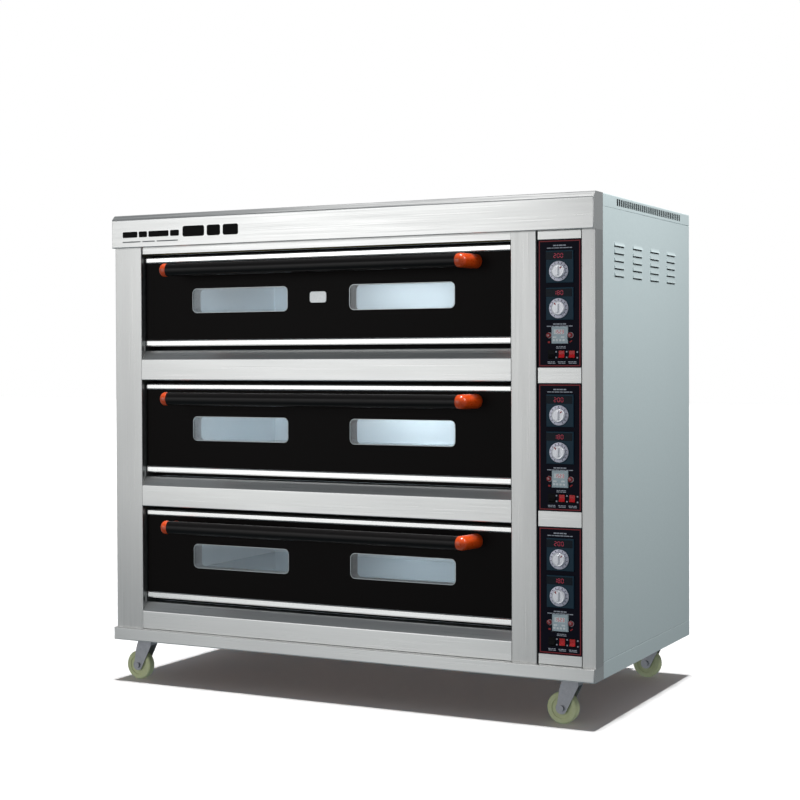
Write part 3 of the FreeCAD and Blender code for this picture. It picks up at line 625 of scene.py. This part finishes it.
def addHorn(name, edge, inward, outer, legRadius):
    # end cap of the bar: an elbow drawn out to a tongue over the bar, and a leg to the door
    elbowX = edge + inward * handle["elbowInset"]
    footX = edge + inward * handle["footInset"]
    elbow = (elbowX * mm, (doorFace - handle["standOff"]) * mm, (doorBottom + handle["above"]) * mm)
    deselectAll()
    bpy.ops.mesh.primitive_uv_sphere_add(segments=40, ring_count=24, radius=handle["radius"] * mm,
                                         location=elbow, rotation=(0, math.radians(90), 0))
    piece = settle(bpy.context.object)
    piece.name = name
    for way, reach in ((inward, handle["tongue"]), (-inward, outer)):
        pickFaces(piece, lambda centre, normal: (centre.x - elbowX) * way > 0)
        bpy.ops.transform.resize(value=(reach / handle["radius"], 1, 1), center_override=elbow)
    bpy.ops.mesh.select_all(action="SELECT")
    bpy.ops.transform.resize(value=(1, 1, handle["height"] / handle["radius"]), center_override=elbow)
    bpy.ops.object.mode_set(mode="OBJECT")
    deselectAll()
    start = Vector(elbow)
    end = Vector((footX * mm, (doorFace + 1.0) * mm, elbow[2]))
    bpy.ops.mesh.primitive_cone_add(vertices=40, radius1=legRadius * mm,
                                    radius2=(legRadius + 0.4) * mm, depth=(end - start).length,
                                    location=(start + end) / 2,
                                    rotation=(end - start).to_track_quat("Z", "Y").to_euler())
    leg = settle(bpy.context.object)
    return smooth(combine(piece, leg, "UNION"), 50)


ends = [addHorn("handle_horn_left_top", doorLeft, 1, *handle["leftEnd"]),
        addHorn("handle_horn_right_top", doorRight, -1, *handle["rightEnd"])]

badge = {"width": 58.0, "height": 34.0, "corner": 8.0, "thick": 1.6, "middle": 147.0}
badgeX = (doorLeft + doorRight) / 2
badgeZ = doorBottom + badge["middle"]
badgePlate = addBlock("blank_badge_plate",
                      (badgeX - badge["width"] / 2, doorFace - badge["thick"], badgeZ - badge["height"] / 2),
                      (badgeX + badge["width"] / 2, doorFace, badgeZ + badge["height"] / 2))
roundEdges(badgePlate, badge["corner"], lambda a, b: abs(a.y - b.y) > 0.5, 6)
pickFaces(badgePlate, lambda centre, normal: normal.y < -0.9)
bpy.ops.mesh.inset(thickness=2.2 * mm, depth=-0.5 * mm)
bpy.ops.object.mode_set(mode="OBJECT")
smooth(bevelAll(badgePlate, 0.2, 2, 40), 40)
finishPiece(badgePlate, badgeMetal, "stainless", "door_top")

for deck in decks:
    shift = (0, 0, deckShift[deck])
    body = "door_" + deck
    sleeve = copyNode("handle_sleeve_" + deck, "handle_bar_" + deck)
    smooth(bevelAll(sleeve, 0.8, 2, 40))
    finishPiece(sleeve, blackSleeve, "handle_tube", body, ["handle_bar_" + deck])
    for piece, kind, material, slotName in (
            (topStrip, "door_moulding_upper_", polishedTrimLit, "stainless"),
            (bottomStrip, "door_moulding_lower_", polishedTrimLit, "stainless"),
            (rims[0], "window_rim_left_", rimSteelShaded, "stainless"),
            (rims[1], "window_rim_right_", rimSteelShaded, "stainless"),
            (ends[0], "handle_horn_left_", orangeNylon, "handle_orange"),
            (ends[1], "handle_horn_right_", orangeNylon, "handle_orange")):
        twin = piece if deck == "top" else copyPiece(piece, kind + deck, shift)
        twin.name = kind + deck
        finishPiece(twin, material, slotName, body,
                    ["handle_ends_" + deck] if "horn" in kind else ())
print("doors made")


# control plates; the top deck's is modelled and then copied down
controlX = (plateLow.x + plateHigh.x - 1.0) / 2 + 0.5
plateFront = plateLow.y
plateBottom = plateHigh.z - 362.0       # lower edge of the top deck's plate
printed = {"thick": 0.25, "borderInset": 3.0, "borderWidth": 3.0}


def addPrint(name, x0, x1, z0, z1):     # one printed patch standing a little off the plate
    piece = addBlock(name, (x0, plateFront - printed["thick"], z0), (x1, plateFront - 0.02, z1))
    return bevelAll(piece, 0.1, 1)


def addBorder(name):
    inset = printed["borderInset"]
    piece = addBlock(name, (plateLow.x + inset, plateFront - printed["thick"], plateBottom + inset),
                     (plateHigh.x - inset, plateFront - 0.02, plateHigh.z - inset))
    pickFaces(piece, lambda centre, normal: abs(normal.y) > 0.9)
    bpy.ops.mesh.inset(thickness=printed["borderWidth"] * mm)
    bpy.ops.mesh.bridge_edge_loops()
    bpy.ops.object.mode_set(mode="OBJECT")
    return piece


dashGap = 1.6
# rows of plain dashes where lettering would be: (centre x, z from the plate's foot, dash height, dash lengths)
dashRows = [
    (0.0, 345.0, 3.4, [9, 6, 11, 8]), (0.0, 338.0, 2.6, [12, 7, 15, 9, 17, 8]),
    (0.0, 122.5, 3.4, [8, 10, 7, 9]), (0.0, 116.5, 2.6, [14, 8, 12, 16, 9, 11]),
    (4.0, 58.5, 2.2, [6, 4, 8, 5]), (4.0, 54.5, 2.0, [9, 7, 10]),
    (-25.5, 15.5, 2.4, [8, 5, 6]), (6.0, 15.5, 2.4, [6, 9, 5]), (38.0, 15.5, 2.4, [7, 6, 8]),
    (-24.5, 11.5, 2.0, [12, 9]), (7.0, 11.5, 2.0, [8, 11]), (39.0, 11.5, 2.0, [10, 12]),
    (-10.5, 44.0, 4.0, [4.4]), (-10.5, 28.0, 4.0, [4.4]), (21.0, 44.0, 4.0, [4.4]),
    (21.0, 28.0, 4.0, [4.4]), (53.0, 43.0, 4.0, [4.4]), (53.0, 27.0, 4.0, [4.4]),
    (30.0, 322.0, 3.4, [3.0]), (30.0, 217.0, 3.4, [3.0]),
]


def addDashes(name):
    dashes = []
    for centre, height, tall, lengths in dashRows:
        total = sum(lengths) + dashGap * (len(lengths) - 1)
        x = controlX + centre - total / 2
        for length in lengths:
            z = plateBottom + height
            dashes.append(addPrint("dash", x, x + length, z - tall / 2, z + tall / 2))
            x += length + dashGap
    return join(dashes, name)


digit = {"barHalf": 0.75, "barThick": 0.4, "gap": 1.4}


def addSegment(x, z, length, upright, y):   # one lit bar of a digit, pointed at both ends
    half = digit["barHalf"]
    if upright:
        piece = addBlock("segment", (x - half, y, z - length / 2),
                         (x + half, y + digit["barThick"], z + length / 2))
        roundEdges(piece, half * 0.9, lambda a, b: abs(a.y - b.y) > 0.3, 1)
    else:
        piece = addBlock("segment", (x - length / 2, y, z - half),
                         (x + length / 2, y + digit["barThick"], z + half))
        roundEdges(piece, half * 0.9, lambda a, b: abs(a.y - b.y) > 0.3, 1)
    return piece


digitBars = {"0": "abcdef", "1": "bc", "2": "abged", "3": "abgcd", "5": "afgcd", "8": "abcdefg"}


def addDigits(name, text, x, z, y, wide=6.5, tall=11.5, pitch=10.5):
    places = {"a": (0, 1, False), "g": (0, 0, False), "d": (0, -1, False),
              "f": (-1, 0.5, True), "b": (1, 0.5, True), "e": (-1, -0.5, True), "c": (1, -0.5, True)}
    bars = []
    for index, figure in enumerate(text):
        middle = x + (index - (len(text) - 1) / 2) * pitch
        for bar in digitBars[figure]:
            across, up, upright = places[bar]
            length = tall / 2 - digit["gap"] if upright else wide - digit["gap"]
            bars.append(addSegment(middle + across * wide / 2, z + up * tall / 2, length, upright, y))
    return join(bars, name)


dialZ = {"upper": 272.0, "lower": 167.0}
dial = {"ringRadius": 28.6, "ringThick": 3.0, "hubRadius": 19.6, "hubBack": 2.6, "hubFront": 11.0,
        "gripHalf": 3.4, "gripReach": 13.0, "gripBack": 10.0, "gripFront": 17.6,
        "ticks": 13, "tickHalf": 0.6, "tickInner": 21.8, "tickOuter": 26.4, "sweep": 300,
        "markHalf": 1.5, "markInner": 10.5, "markOuter": 17.0, "angle": {"upper": 48, "lower": -32}}
dialFront = plateFront - 5.5


def addScaleRing(name, z):
    # sloping scale skirt of a dial, turned up from one disc by insets
    piece = addRod(name, (controlX, dialFront, z), (controlX, dialFront - dial["ringThick"], z),
                   dial["ringRadius"], 56)
    pickFaces(piece, lambda centre, normal: normal.y < -0.9)
    bpy.ops.mesh.inset(thickness=1.0 * mm, depth=0.4 * mm)
    bpy.ops.mesh.inset(thickness=7.0 * mm, depth=0.6 * mm)
    bpy.ops.mesh.inset(thickness=0.8 * mm, depth=-1.2 * mm)
    bpy.ops.object.mode_set(mode="OBJECT")
    return smooth(bevelAll(piece, 0.25, 2, 30), 40)


def addHub(name, z):
    # white grip disc of a dial with a low finger bar across it
    piece = addRod(name, (controlX, dialFront - dial["hubBack"], z), (controlX, dialFront - dial["hubFront"], z),
                   dial["hubRadius"], 48)
    pickFaces(piece, lambda centre, normal: normal.y < -0.9)
    bpy.ops.mesh.inset(thickness=1.8 * mm, depth=1.6 * mm)
    bpy.ops.mesh.inset(thickness=2.4 * mm, depth=-0.9 * mm)
    bpy.ops.object.mode_set(mode="OBJECT")
    bevelAll(piece, 0.4, 3, 25)
    half, reach = dial["gripHalf"], dial["gripReach"]
    grip = addBlock("grip", (controlX - half, dialFront - dial["gripFront"], z - reach),
                    (controlX + half, dialFront - dial["gripBack"], z + reach))
    pickFaces(grip, lambda centre, normal: normal.y < -0.9)
    bpy.ops.mesh.inset(thickness=1.2 * mm, depth=0.8 * mm)
    bpy.ops.object.mode_set(mode="OBJECT")
    bevelAll(grip, 1.1, 3)
    return smooth(join([piece, grip], name), 40)


def addTicks(name, z):
    ticks = []
    half, count, sweep = dial["tickHalf"], dial["ticks"], dial["sweep"]
    first = addBlock("tick", (controlX - half, dialFront - 4.35, z + dial["tickInner"]),
                     (controlX + half, dialFront - 3.5, z + dial["tickOuter"]))
    centre = Vector((controlX * mm, 0, z * mm))
    for index in range(count):
        twin = copyPiece(first, "tick", (0, 0, 0))
        turn = Matrix.Rotation(math.radians(-sweep / 2 + sweep * index / (count - 1)), 4, "Y")
        twin.data.transform(Matrix.Translation(centre) @ turn @ Matrix.Translation(-centre))
        ticks.append(twin)
    ticks.append(first)
    return join(ticks, name)


def addMark(name, z, angle):     # red pointer line on the dial's hub
    half = dial["markHalf"]
    piece = addBlock(name, (controlX - half, dialFront - 13.0, z + dial["markInner"]),
                     (controlX + half, dialFront - 12.4, z + dial["markOuter"]))
    bevelAll(piece, 0.2, 1)
    centre = Vector((controlX * mm, 0, z * mm))
    turn = Matrix.Rotation(math.radians(angle), 4, "Y")
    piece.data.transform(Matrix.Translation(centre) @ turn @ Matrix.Translation(-centre))
    return piece


# key rows: number, first key's middle, pitch, half width, how far it stands out, z of its edges under the middle
timer = {"above": 91.0, "lampOffset": 32.5, "screenHalf": 16.6, "screenLow": 2.4, "screenHigh": 16.6,
         "keyBack": 6.8, "keyRows": [(4, 14.5, 9.7, 3.4, 8.4, 17.5, 11.5), (2, 12.0, 24.0, 5.4, 8.2, 8.5, 3.5)]}


def addKeys(name, z):
    keys = []
    for number, first, pitch, half, proud, low, high in timer["keyRows"]:
        for index in range(number):
            x = controlX - first + index * pitch
            key = addBlock("key", (x - half, plateFront - proud, z - low),
                           (x + half, plateFront - timer["keyBack"], z - high))
            keys.append(bevelAll(key, 0.7, 2))
    return smooth(join(keys, name))


timerZ = plateBottom + timer["above"]
lampOffset = timer["lampOffset"]
controls = [
    (addBorder("plate_border_top"), "plate_border_", redInk, "control_print"),
    (addDashes("plate_dashes_top"), "plate_dashes_", paleInk, "control_print"),
    (addKeys("timer_keys_top", timerZ), "timer_keys_", timerKeys, "timer_case"),
]
display = {"half": 39.5, "low": 33.0, "high": 55.0, "digitsUp": 44.0, "text": {"upper": "200", "lower": "180"}}
for heat, text in display["text"].items():
    z = plateBottom + dialZ[heat]
    filterPlate = addBlock("display_filter", (controlX - display["half"], plateFront - 5.4, z + display["low"]),
                           (controlX + display["half"], plateFront - 4.9, z + display["high"]))
    bevelAll(filterPlate, 0.2, 1)
    controls.append((filterPlate, heat + "_display_filter_", darkFilter, "thermostat_case"))
    digits = addDigits("digits", text, controlX - 1.5, z + display["digitsUp"],
                       plateFront - 5.9)
    controls.append((digits, heat + "_display_digits_", redDigits, "lamp_red"))
timerScreen = addBlock("timer_screen",
                       (controlX - timer["screenHalf"], plateFront - 6.6, timerZ + timer["screenLow"]),
                       (controlX + timer["screenHalf"], plateFront - 6.0, timerZ + timer["screenHigh"]))
bevelAll(timerScreen, 0.3, 1)
controls.append((timerScreen, "timer_screen_", timerKeys, "timer_case"))
timerDigits = addDigits("timer_digits", "1523", controlX + 1.0, timerZ + 9.5, plateFront - 7.0, 4.6, 8.6, 7.4)
controls.append((timerDigits, "timer_digits_", redDigits, "lamp_red"))
square = addPrint("mark", controlX - lampOffset - 3.2, controlX - lampOffset + 3.6,
                  timerZ - 22.5, timerZ - 17.0)
slash = addPrint("mark", controlX + lampOffset - 3.0, controlX + lampOffset + 6.0, timerZ - 19.5, timerZ - 16.5)
slashMiddle = Vector(((controlX + lampOffset + 1.5) * mm, 0, (timerZ - 18.0) * mm))
slash.data.transform(Matrix.Translation(slashMiddle) @ Matrix.Rotation(math.radians(-35), 4, "Y")
                     @ Matrix.Translation(-slashMiddle))
controls.append((join([square, slash], "lamp_marks"), "lamp_marks_", brightRedInk, "control_print"))
lenses = []
for side in (-1, 1):
    x = controlX + side * lampOffset
    lens = addRod("lens", (x, plateFront - 2.0, timerZ), (x, plateFront - 4.4, timerZ), 7.4, 32)
    pickFaces(lens, lambda centre, normal: normal.y < -0.9)
    bpy.ops.mesh.inset(thickness=1.8 * mm, depth=1.2 * mm)
    bpy.ops.mesh.inset(thickness=2.2 * mm, depth=0.6 * mm)
    bpy.ops.object.mode_set(mode="OBJECT")
    lenses.append(bevelAll(lens, 0.5, 2, 15))
controls.append((smooth(join(lenses, "lamp_lenses"), 60), "lamp_lenses_", redLens, "lamp_red"))

dials = {}
for heat, angle in dial["angle"].items():
    z = plateBottom + dialZ[heat]
    dials[heat] = [
        (addHub("hub", z), heat + "_dial_", dialAbs, "dial_white"),
        (addScaleRing("ring", z), heat + "_dial_scale_", dialRing, "dial_white"),
        (addTicks("ticks", z), heat + "_dial_ticks_", blackInk, "control_print"),
        (addMark("mark", z, angle), heat + "_dial_mark_", brightRedInk, "lamp_red"),
    ]

for deck in ("bottom", "middle", "top"):
    shift = (0, 0, deckShift[deck])
    for piece, kind, material, slotName in controls:
        twin = piece if deck == "top" else copyPiece(piece, kind + deck, shift)
        twin.name = kind + deck
        finishPiece(twin, material, slotName)
    for heat in ("upper", "lower"):
        knob = heat + "_heat_knob_" + deck
        for index, (piece, kind, material, slotName) in enumerate(dials[heat]):
            twin = piece if deck == "top" else copyPiece(piece, kind + deck, shift)
            twin.name = kind + deck
            finishPiece(twin, material, slotName, knob, [knob] if index == 0 else ())
    for switch, material, slotName in (("lamp_switch_", blackAbs, "switch_black"),
                                       ("power_switch_", redRocker, "rocker_red"),
                                       ("timer_switch_", redRocker, "rocker_red")):
        rocker = copyNode(switch + "cap_" + deck, switch + deck)
        bevelAll(rocker, 0.7, 2, 25)
        smooth(rocker, 40)
        finishPiece(rocker, material, slotName, switch + deck, [switch + deck])
print("controls made")


# castors
for corner in ("front_left", "front_right", "rear_left", "rear_right"):
    fork = copyNode("castor_yoke_" + corner, "castor_fork_" + corner)
    bevelAll(fork, 0.8, 2, 40)
    smooth(fork, 40)
    finishPiece(fork, zincSteel, "castor_steel", "castor_fork_" + corner, ["castor_fork_" + corner])
    wheel = copyNode("castor_roller_" + corner, "castor_wheel_" + corner)
    smooth(wheel, 40)
    finishPiece(wheel, castNylon, "castor_nylon", "castor_wheel_" + corner, ["castor_wheel_" + corner])
print("castors made")


# room, lights and camera
floorSize = 60.0
bpy.ops.mesh.primitive_plane_add(size=floorSize, location=(0, 0, 0))
floor = bpy.context.object
floor.name = "studio_floor"
floorPaint = newMaterial("studio_floor_paint", {"Base Color": "#f4f4f4", "Roughness": 0.85,
                                                "Specular IOR Level": 0.1})[0]
floor.data.materials.append(floorPaint)

floor.visible_diffuse = False       # the floor takes shadows but throws no light back up
floor.visible_glossy = False
floor.visible_shadow = False
for deck in decks:                  # the handles' thin shadows stay off the floor
    for name in ("handle_sleeve_", "handle_horn_left_", "handle_horn_right_"):
        bpy.data.objects[name + deck].visible_shadow = False

world = bpy.data.worlds.new("studio")
bpy.context.scene.world = world
world.use_nodes = True
skyTree = world.node_tree
skyShader = skyTree.nodes["Background"]
skyPlace = addNode(skyTree, "TexCoord")
skySplit = addNode(skyTree, "SeparateXYZ", {}, {"Vector": skyPlace.outputs["Generated"]})
skyHeight = addNode(skyTree, "MapRange", {"From Min": -1.0, "From Max": 1.0}, {"Value": skySplit.outputs["Z"]})
skyRamp = addNode(skyTree, "ValToRGB", {"stops": [(0.0, "#52646c"), (1.0, "#74787c"), (0.5, "#85898b")]},
                  {"Fac": skyHeight.outputs["Result"]})
skyPath = addNode(skyTree, "LightPath")
skyMix = addNode(skyTree, "Mix", {"data_type": "RGBA", 7: (1.0, 1.0, 1.0, 1.0)})
skyTree.links.new(skyPath.outputs["Is Camera Ray"], skyMix.inputs[0])
skyTree.links.new(skyRamp.outputs["Color"], skyMix.inputs[6])
skyTree.links.new(skyMix.outputs[2], skyShader.inputs["Color"])


def addSoftLight(name, place, aim, size, power):
    light = bpy.data.lights.new(name, "AREA")
    light.shape = "RECTANGLE"
    light.size, light.size_y = size
    light.energy = power
    lamp = bpy.data.objects.new(name, light)
    lamp.location = place
    lamp.rotation_euler = (Vector(aim) - Vector(place)).to_track_quat("-Z", "Y").to_euler()
    bpy.context.collection.objects.link(lamp)
    return lamp


keyLights = [
    addSoftLight("key_light", (-2.35, -4.7, 1.45), (-0.2, -0.4, 1.45), (3.3, 3.0), 31),
    addSoftLight("high_fill", (-2.4, -4.65, 1.95), (-0.2, -0.4, 1.7), (2.4, 1.2), 7.0),
    addSoftLight("low_fill", (-2.0, -4.7, -0.8), (0.1, -0.4, -0.4), (3.0, 1.5), 8.5),
    addSoftLight("side_light", (2.5, -0.1, 2.6), (0.83, 0.0, 1.1), (1.2, 1.2), 54),
]
# the floor is lit from straight above only, so that the one shadow is the oven's footprint
floorOnly = bpy.data.collections.new("floor_only")
floorOnly.objects.link(floor)
floorOnly.collection_objects[0].light_linking.link_state = "EXCLUDE"
for lamp in keyLights:
    lamp.light_linking.receiver_collection = floorOnly
floorGlow = bpy.data.lights.new("floor_glow", "SUN")     # faint warm light inside the shadow
floorGlow.energy = 0.11
floorGlow.color = (1.0, 0.45, 0.22)
floorGlow.use_shadow = False
glowLamp = bpy.data.objects.new("floor_glow", floorGlow)
bpy.context.collection.objects.link(glowLamp)
glowFloor = bpy.data.collections.new("glow_floor")
glowFloor.objects.link(floor)
glowLamp.light_linking.receiver_collection = glowFloor

sun = bpy.data.lights.new("overhead_sun", "SUN")
sun.energy = 3.6
sun.angle = math.radians(2.5)
overhead = bpy.data.objects.new("overhead_sun", sun)
overhead.location = (0, 0, 6)
bpy.context.collection.objects.link(overhead)

# the two lights of a chamber: shift is from the window's middle, along X
chamber = {"front": -349.0, "lightBack": 120.0, "lightDown": 22.0, "ceiling": chamberFace["mouthCeiling"],
           "shift": (30.0, -690.0),
           "power": {"top": (1.7, 0.6), "middle": (3.0, 0.3), "bottom": (0.9, 0.3)}}
for deck in decks:
    for index in (0, 1):
        left, right = windowEdges(index)
        z = (doorBottom + chamber["ceiling"] - chamber["lightDown"] + deckShift[deck]) * mm
        place = (((left + right) / 2 + chamber["shift"][index]) * mm,
                 (chamber["front"] + chamber["lightBack"]) * mm, z)
        addSoftLight("chamber_light_%s_%d" % (deck, index), place, (place[0], place[1] + 0.3, place[2] - 0.2),
                     (0.30, 0.10), chamber["power"][deck][index])

cameraData = bpy.data.cameras.new("camera")
cameraData.lens = 72.37
cameraData.sensor_width = 36.0
cameraData.shift_y = -0.024
camera = bpy.data.objects.new("camera", cameraData)
camera.location = (2.3928, -4.6742, 1.0459)
camera.rotation_euler = [math.radians(angle) for angle in (89.213, 0.202, 27.106)]
bpy.context.collection.objects.link(camera)
bpy.context.scene.camera = camera
bpy.context.scene.view_settings.view_transform = "Standard"
print("room, lights and camera set")
